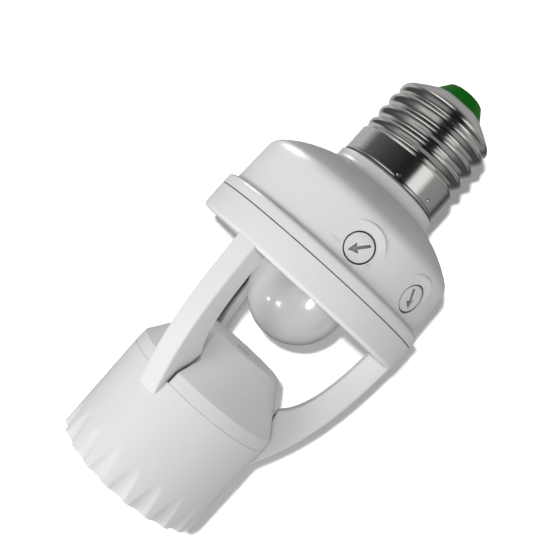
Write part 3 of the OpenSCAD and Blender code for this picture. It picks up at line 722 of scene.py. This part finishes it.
def upperHousing():
    spigotR = flangeR - flange["wall"] - housing["fit"]
    spigotZ = seamZ - housing["spigotH"]
    footR, wall, fillet = housing["footR"], housing["wall"], housing["fillet"]
    bossR, bossZ = housing["capBossR"], skirtZ + housing["capBossH"]
    neckTopZ = skirtZ - housing["neckGap"]
    drumRows = [(footR + (housing["topR"] - footR) * t, drumZ + housing["drumH"] * t)
                for t in [0.08 * i for i in range(1, 10)]]
    foot = [(footR + out, drumZ + up, *soft) for out, up, *soft in housing["footGroove"]]
    curve = [tuple(p) for p in shoulderCurve(26)]
    crease, neck = curve[0] + (housing["creaseRound"],), curve[-1] + (housing["neckRound"],)
    dome = [crease] + curve[5:-4] + [neck]
    inside = [(p.x - wall * housing["thinning"], p.y - wall) for p in reversed(shoulderCurve(10))]
    ring = spun(rounded([(spigotR, spigotZ), (spigotR, seamZ)] + seamEdge(1)[::-1]
                        + [(flangeR, drumZ, flange["edge"])] + foot + drumRows + dome
                        + [(housing["neckR"], neckTopZ, housing["neckEdge"]), (bossR, neckTopZ),
                           (bossR, bossZ, fillet), (housing["wireHoleR"], bossZ),
                           (housing["wireHoleR"], bossZ - wall), (bossR - wall, bossZ - wall)]
                        + inside + [(footR - wall, drumZ), (spigotR - wall / 2, spigotZ)]), 320)
    boardTopZ = boardZ + housing["boardT"]
    bossTopZ = boardTopZ + housing["bossH"]
    ribLow = (0, -wall / 2, seamZ + housing["ribInset"])
    ribHigh = (footR - wall / 2 - flange["screwRingR"], wall / 2,
               seamZ + housing["bossH"] - housing["ribInset"])
    posts, holes = [], []
    for bearing in screwBearings:
        at = turned(bearing) @ Matrix.Translation((flange["screwRingR"], 0, 0))
        posts.append(moved(rod(flange["bossR"], boardTopZ, bossTopZ), at))
        posts.append(moved(block(ribLow, ribHigh), at))
        holes.append(moved(rod(housing["screwHoleR"], boardTopZ - past, bossTopZ - 1), at))
    seatR = knob["radius"] + knob["gap"]
    seats = [moved(rod(seatR, knob["seatFromR"], flangeR + past, steps=96), atKnob(b))
             for b in knob["bearings"].values()]
    body = worked(ring, [("UNION", shape) for shape in posts]
                  + [("DIFFERENCE", together(holes)), ("DIFFERENCE", together(seats))])
    arcs = [moved(knobArc(), atKnob(b)) for b in knob["bearings"].values()]
    return together([body] + arcs + signs())


addPiece("upperHousing", upperHousing(), finishes["white_plastic"], "holder",
         ["upper_housing"])


# trim knobs: a disc with a stem, and an arrow sunk into its face

def trimKnob(angle):
    backR = knobFaceR - knob["thick"]
    disc = rod(knob["radius"], backR, knobFaceR, steps=128)
    rim = [e for e in disc.edges if min(v.co.z for v in e.verts) > knobFaceR - 0.01
           and len(e.link_faces) == 2]
    softened(disc, rim, knob["edge"])
    tip, shaft = knob["radius"] - arrowCut["ends"], arrowCut["shaft"]
    neck, head, wide = tip - arrowCut["neck"], tip - arrowCut["head"], shaft + arrowCut["barb"]
    outline = [(-tip, -shaft), (neck, -shaft), (head, -wide), (tip, 0), (head, wide),
               (neck, shaft), (-tip, shaft)]
    lowR = knobFaceR - arrowCut["depth"]
    arrow = bmesh.new()
    face = arrow.faces.new([arrow.verts.new((x, y, lowR)) for x, y in outline])
    drawnOut(arrow, [face], (0, 0, 2 * arrowCut["depth"]))
    bmesh.ops.recalc_face_normals(arrow, faces=arrow.faces)
    moved(arrow, Matrix.Rotation(math.radians(angle), 4, "Z"))
    stem = rod(knob["stemR"], backR - knob["stemH"], backR + into, steps=48)
    return worked(disc, [("UNION", stem), ("DIFFERENCE", arrow)])


for node, bearing in knob["bearings"].items():
    shape = moved(trimKnob(knob["arrows"][node]), atKnob(bearing))
    addPiece(node.replace("_knob", "Knob"), shape, finishes["white_plastic"],
             node, [node])


# screw cap: skirt, rolled thread and cone in one sheet

# skirt rows are given by inset, first height, step and count, punched marks by bearing and height
cap = {"radius": 13.1, "sheet": 0.35, "skirtH": 6.2, "threadH": 14, "depth": 0.95,
       "pitch": 3.629, "phase": -63, "runOut": 0.4, "insulatorR": 6.85, "topDrop": 0.6,
       "coneSwell": 1.15, "steps": 240, "threadRows": 84, "coneRows": 14,
       "curledEdge": ((-0.16, 0), (0, 0.1), (0, 0.34), (-0.1, 0.5)),
       "skirtRows": ((0.02, 0.7, 0.2, 9), (0, 2.6, 0.4, 9)),
       "punches": ((1, 1.05), (42, 1.8), (118, 1.4), (203, 1.4), (282, 1.4)), "punchR": 0.38,
       "punchDepth": 0.28}
threadZ = skirtZ + cap["skirtH"]
coneZ = threadZ + cap["threadH"]


def threadCut(angle, z, low, high, phase, depth):
    turn = (z - low) / cap["pitch"] - (angle - phase) / 360
    fade = max(0, min(1, (z - low) / (cap["pitch"] / 2), (high - z) / (cap["pitch"] / 2)))
    return depth * (0.5 - 0.5 * math.cos(2 * math.pi * turn)) * fade


def rolled(rows, sheet, steps, cutAt):
    # a thin sheet round the axis whose two skins share one wave
    loop = rows + [(r - sheet, z) for r, z in reversed(rows)]
    bm = spun(loop, steps)
    for vert in bm.verts:
        pulledIn(vert, cutAt)
    bmesh.ops.recalc_face_normals(bm, faces=bm.faces)
    return bm


def capShell():
    radius, drop, turns = cap["radius"], cap["topDrop"], cap["threadRows"]
    skirt = [(radius + out, skirtZ + up) for out, up in cap["curledEdge"]]
    for inset, first, step, count in cap["skirtRows"]:
        skirt += [(radius - inset, skirtZ + first + step * i) for i in range(count)]
    thread = [(radius - drop * (i / turns) ** 8, threadZ + cap["threadH"] * i / turns)
              for i in range(turns + 1)]
    run = radius - cap["insulatorR"] - drop
    cone = [(radius - drop - run * t ** cap["coneSwell"], coneZ + (coneTopZ - coneZ) * t)
            for t in [i / cap["coneRows"] for i in range(1, cap["coneRows"] + 1)]]

    def cutAt(angle, z):
        cut = threadCut(angle, z, threadZ, coneZ - cap["runOut"], cap["phase"], cap["depth"])
        for bearing, rise in cap["punches"]:
            aside = math.radians((angle - bearing + 90 + 180) % 360 - 180) * cap["radius"]
            away = (aside ** 2 + (z - skirtZ - rise) ** 2) / cap["punchR"] ** 2
            cut += cap["punchDepth"] * math.exp(-away)
        return cut

    return rolled(skirt + thread + cone, cap["sheet"], cap["steps"], cutAt)


addPiece("capShell", capShell(), finishes["cap_metal"], "holder", ["cap_shell"])


# insulator: the green cone, with a plug inside the cap's sheet

insulator = {"holeR": 1, "plugH": 3, "fit": 0.15, "slopeIn": 1.5, "slopeDrop": 1,
             "slopeRound": 0.6, "topIn": 2.2, "topRound": 0.5}


def capInsulator():
    outR, holeR, lowZ = cap["insulatorR"], insulator["holeR"], coneTopZ - insulator["plugH"]
    inR = outR - cap["sheet"] - insulator["fit"]
    slope = (outR - insulator["slopeIn"], tipZ - insulator["slopeDrop"], insulator["slopeRound"])
    top = (outR - insulator["topIn"], tipZ, insulator["topRound"])
    return spun(rounded([(holeR, lowZ), (inR, lowZ), (inR, coneTopZ), (outR, coneTopZ), slope, top,
                         (holeR, tipZ)]), 128)


addPiece("capInsulator", capInsulator(), finishes["green_insulator"], "holder",
         ["cap_insulator"])


# lens: a milky dome with a rim on the flange's floor

lens = {"radius": 12, "wall": 0.8, "rimR": 13.9, "rimH": 1, "centreZ": floorZ - 0.8}


def lensDome():
    def bowl(radius, steps=40):
        angles = [math.radians(90 * i / steps) for i in range(steps + 1)]
        return [(radius * math.sin(a), lens["centreZ"] - radius * math.cos(a)) for a in angles]
    inner = lens["radius"] - lens["wall"]
    rimZ = floorTopZ + lens["rimH"]
    profile = bowl(lens["radius"]) + [(lens["radius"], floorTopZ), (lens["rimR"], floorTopZ),
                                      (lens["rimR"], rimZ), (inner, rimZ)] + bowl(inner)[::-1]
    return moved(spun(profile, 160, isRing=False), Matrix.Translation((flange["lensX"], 0, 0)))


addPiece("lensDome", lensDome(), finishes["lens_plastic"], "holder", ["lens_dome"])


# socket shell: a rolled thread in thin sheet

shell = {"inR": 12.3, "depth": 0.95, "sheet": 0.3, "low": 6.65, "high": 21.05, "phase": 20,
         "runOut": 0.4, "rows": 96, "steps": 200}


def socketShell():
    topR = shell["inR"] + shell["depth"] + shell["sheet"]
    run = shell["high"] - shell["low"]
    low, high = shell["low"] + shell["runOut"], shell["high"] - shell["runOut"]
    rows = [(topR, shell["low"] + run * i / shell["rows"]) for i in range(shell["rows"] + 1)]

    def cutAt(angle, z):
        return threadCut(angle, z, low, high, shell["phase"], shell["depth"])

    return rolled(rows, shell["sheet"], shell["steps"], cutAt)


addPiece("socketShell", socketShell(), finishes["socket_aluminium"], "holder",
         ["socket_shell"])


# camera: fitted to the photograph, close by and level with the sensor

view = {"place": (-2.896, -193.754, 56.058), "yaw": -0.271, "pitch": 0.201, "roll": -0.557,
        "tilt": 42.5, "lens": 53.64, "sensor": 36, "near": 0.002, "far": 10}


def addCamera():
    yaw, pitch, roll, tilt = [math.radians(view[k]) for k in ("yaw", "pitch", "roll", "tilt")]
    flat = math.cos(pitch)
    ahead = Vector((math.sin(yaw) * flat, math.cos(yaw) * flat, math.sin(pitch)))
    right = Vector((math.cos(yaw), -math.sin(yaw), 0))
    up = right.cross(ahead)
    across = math.cos(roll) * right + math.sin(roll) * up
    above = -math.sin(roll) * right + math.cos(roll) * up
    axisX = math.cos(tilt) * across + math.sin(tilt) * above
    axisY = -math.sin(tilt) * across + math.cos(tilt) * above
    data = bpy.data.cameras.new("camera")
    data.sensor_width = view["sensor"]
    data.lens = view["lens"]
    data.clip_start = view["near"]
    data.clip_end = view["far"]
    camera = bpy.data.objects.new("camera", data)
    turn = Matrix((axisX, axisY, -ahead)).transposed().to_4x4()
    camera.matrix_world = Matrix.Translation(Vector(view["place"]) * mm) @ turn
    scene.collection.objects.link(camera)
    scene.camera = camera


addCamera()
print("camera placed")


# light: a small flash beside the camera, a soft window from the lower left, a plain room

middle = Vector((0, 0, 0.06))
light = {"flash": 0.13, "flashAt": (-0.038, -0.26, 0.054), "flashSize": 0.01,
         "sheetFlash": 1.1, "sheetFlashAt": (-0.029, -0.26, 0.066),
         "window": 1.05, "windowFrom": (-0.62, -0.6, -0.5), "windowFar": 0.5, "windowSize": 0.24,
         "glintFar": 0.4, "room": 0.74, "slope": (0.15, 0.2, -0.55)}
# lamps that only leave a highlight on one piece: bearing, elevation, size, power
glints = {"upperHousing": ((-112, 32, 0.1, 1.25),),
          "lensDome": ((33, -3, 0.11, 0.7), (-60, -48, 0.045, 0.15), (-24, -46, 0.055, 0.28))}
# what a lamp may light: the sheet alone, or all but the sheet
sheetOnly = bpy.data.collections.new("sheetOnly")
notSheet = bpy.data.collections.new("notSheet")


def addLamp(name, power, place, size, lights):
    data = bpy.data.lights.new(name, "AREA")
    data.shape = "DISK"
    data.size = size
    data.energy = power
    lamp = bpy.data.objects.new(name, data)
    lamp.location = place
    lamp.rotation_mode = "QUATERNION"
    lamp.rotation_quaternion = (middle - Vector(place)).to_track_quat("-Z", "Y")
    scene.collection.objects.link(lamp)
    lamp.light_linking.receiver_collection = lights
    return lamp


def addLamps():
    windowAt = middle + Vector(light["windowFrom"]) * light["windowFar"]
    for name, place, size, lights in (
            ("flash", light["flashAt"], light["flashSize"], notSheet),
            ("sheetFlash", light["sheetFlashAt"], light["flashSize"], sheetOnly),
            ("window", windowAt, light["windowSize"], notSheet)):
        addLamp(name, light[name], place, size, lights).visible_glossy = False


def addGlints():
    for piece, lamps in glints.items():
        only = bpy.data.collections.new(piece + "Only")
        only.objects.link(bpy.data.objects[piece])
        for bearing, elevation, size, power in lamps:
            raised = Matrix.Rotation(-math.radians(elevation), 4, "Y")
            away = turned(bearing) @ raised @ Vector((light["glintFar"], 0, 0))
            lamp = addLamp("glint", power, middle + away, size, only)
            lamp.visible_diffuse = False


def addRoom():
    # white for what sees the background; what is lit gets more from below and from the sheet
    world = bpy.data.worlds.new("room")
    scene.world = world
    tree = emptyTree(world)
    way = tree.nodes.new("ShaderNodeTexCoord").outputs["Generated"]
    slope = wired(tree, "VectorMath", {0: way}, {1: light["slope"]})
    slope.operation = "DOT_PRODUCT"
    strength = reckoned(tree, "ADD", slope.outputs["Value"], light["room"])
    lit = wired(tree, "Background", {"Strength": reckoned(tree, "MAXIMUM", strength, 0)})
    white = tree.nodes.new("ShaderNodeBackground")
    rays = tree.nodes.new("ShaderNodeLightPath").outputs
    seen = rays["Is Camera Ray"]
    for other in ("Is Glossy Ray", "Is Transmission Ray"):
        seen = reckoned(tree, "MAXIMUM", seen, rays[other])
    choice = wired(tree, "MixShader", {"Fac": seen, 1: lit.outputs[0], 2: white.outputs[0]})
    wired(tree, "OutputWorld", {"Surface": choice.outputs[0]})


addLamps()
addGlints()
addRoom()


# stage: the white sheet behind the holder, and a studio that only reflections see

stage = {"sheetY": 30.5, "sheetSize": 2500, "sheetColour": 0.38, "glowFrom": 0.14,
         "glowTo": 0.24}
# shades round the studio, at the cap's level and away from it, by the bearing from the front,
# and up the studio, by the share of its radius; the band is the level's middle and its blend
studio = {"radius": 0.6, "centre": 0.09,
          "level": ((-180, 0.5), (-112, 0.55), (-86, 0.12), (-40, 0.05), (0, 0.015), (21, 0.02),
                    (30, 1.0), (50, 1.0), (62, 0.32), (110, 0.26), (128, 0.05), (180, 0.04)),
          "aside": ((-180, 0.4), (-84, 0.4), (-62, 1.0), (-14, 1.0), (2, 0.02), (32, 0.02),
                    (44, 0.6), (76, 0.6), (92, 0.35), (180, 0.3)),
          "rise": ((-1, 0.35), (-0.75, 0.6), (-0.5, 0.18), (0.5, 0.16), (0.64, 1.0), (0.86, 1.0),
                   (0.94, 0.3), (1, 0.25)),
          "band": (0.2, 0.22, 0.42)}


def grey(shade):
    return (shade, shade, shade, 1)


def paperLook(tree):
    # far from the holder, where the flash fades, the sheet glows by itself
    place = tree.nodes.new("ShaderNodeTexCoord").outputs["Object"]
    away = wired(tree, "VectorMath", {0: place})
    away.operation = "LENGTH"
    far = wired(tree, "MapRange", {"Value": away.outputs["Value"]},
                {"From Min": stage["glowFrom"], "From Max": stage["glowTo"]})
    look = wired(tree, "Emission", {"Strength": far.outputs["Result"]}).outputs[0]
    for layer in range(2):
        paper = wired(tree, "BsdfDiffuse", {}, {"Color": grey(stage["sheetColour"])})
        look = wired(tree, "AddShader", {0: paper.outputs[0], 1: look}).outputs[0]
    return look


def addSheet():
    # seen by the camera alone and from its front, so it has the shadow and blocks no light
    bm = bmesh.new()
    bmesh.ops.create_grid(bm, x_segments=1, y_segments=1, size=stage["sheetSize"] / 2 * mm)
    upright = Matrix.Rotation(math.radians(90), 4, "X")
    moved(bm, Matrix.Translation((0, stage["sheetY"] * mm, 0)) @ upright)
    sheet = asObject(bm, "whiteSheet")
    material = bpy.data.materials.new("whiteSheet")
    tree = emptyTree(material)
    paper = paperLook(tree)
    clear = tree.nodes.new("ShaderNodeBsdfTransparent").outputs[0]
    rays = tree.nodes.new("ShaderNodeLightPath").outputs
    back = tree.nodes.new("ShaderNodeNewGeometry").outputs["Backfacing"]
    shown = reckoned(tree, "SUBTRACT", rays["Is Camera Ray"], back)
    shown.node.use_clamp = True
    choice = wired(tree, "MixShader", {"Fac": shown, 1: clear, 2: paper})
    wired(tree, "OutputMaterial", {"Surface": choice.outputs[0]})
    sheet.data.materials.append(material)
    sheetOnly.objects.link(sheet)
    notSheet.objects.link(sheet)
    notSheet.collection_objects[0].light_linking.link_state = "EXCLUDE"


def bearingRamp(tree, angle, shades):
    # starts at the left side and goes by the front, the right and the back to there again
    ramp = tree.nodes.new("ShaderNodeValToRGB")
    stops = ramp.color_ramp.elements
    places = sorted(((bearing / 360 + 0.25) % 1, shade) for bearing, shade in shades[:-1])
    for place, shade in places:
        stops.new(place).color = grey(shade)
    (first, firstShade), (last, lastShade) = places[0], places[-1]
    share = first / (first + 1 - last)
    for end in (0, -1):
        stops[end].color = grey(firstShade + (lastShade - firstShade) * share)
    tree.links.new(angle, ramp.inputs["Fac"])
    return ramp.outputs["Color"]


def riseRamp(tree, height):
    radius = studio["radius"]
    share = wired(tree, "MapRange", {"Value": height}, {"From Min": -radius, "From Max": radius})
    ramp = wired(tree, "ValToRGB", {"Fac": share.outputs["Result"]})
    stops = ramp.color_ramp.elements
    for place, shade in studio["rise"][1:-1]:
        stops.new((place + 1) / 2).color = grey(shade)
    for end in (0, -1):
        stops[end].color = grey(studio["rise"][end][1])
    return ramp.outputs["Color"]


def addStudio():
    # the dark and bright sides of the room, seen by reflections alone
    bm = bmesh.new()
    bmesh.ops.create_uvsphere(bm, u_segments=96, v_segments=48, radius=studio["radius"])
    for face in bm.faces:
        face.smooth = True
    room = asObject(bm, "studio")
    room.location.z = studio["centre"]
    material = bpy.data.materials.new("studio")
    tree = emptyTree(material)
    place = tree.nodes.new("ShaderNodeTexCoord").outputs["Object"]
    turn = wired(tree, "TexGradient", {"Vector": place})
    turn.gradient_type = "RADIAL"
    angle = turn.outputs["Fac"]
    height = wired(tree, "SeparateXYZ", {"Vector": place}).outputs["Z"]
    middleZ, inner, outer = [studio["radius"] * v for v in studio["band"]]
    away = reckoned(tree, "ABSOLUTE", reckoned(tree, "SUBTRACT", height, middleZ))
    blend = wired(tree, "MapRange", {"Value": away}, {"From Min": inner, "From Max": outer})
    blend.interpolation_type = "SMOOTHSTEP"
    aside = wired(tree, "VectorMath", {0: bearingRamp(tree, angle, studio["aside"]),
                                       1: riseRamp(tree, height)})
    aside.operation = "MULTIPLY"
    mix = tree.nodes.new("ShaderNodeMix")
    mix.data_type = "RGBA"
    tree.links.new(blend.outputs["Result"], mix.inputs["Factor"])
    tree.links.new(bearingRamp(tree, angle, studio["level"]), mix.inputs["A"])
    tree.links.new(aside.outputs["Vector"], mix.inputs["B"])
    glow = wired(tree, "Emission", {"Color": mix.outputs["Result"]})
    wired(tree, "OutputMaterial", {"Surface": glow.outputs[0]})
    room.data.materials.append(material)
    room.visible_camera = False
    room.visible_diffuse = False
    room.visible_shadow = False
    room.visible_transmission = False


addSheet()
addStudio()
scene.view_settings.view_transform = "Standard"
print("stage and light done")
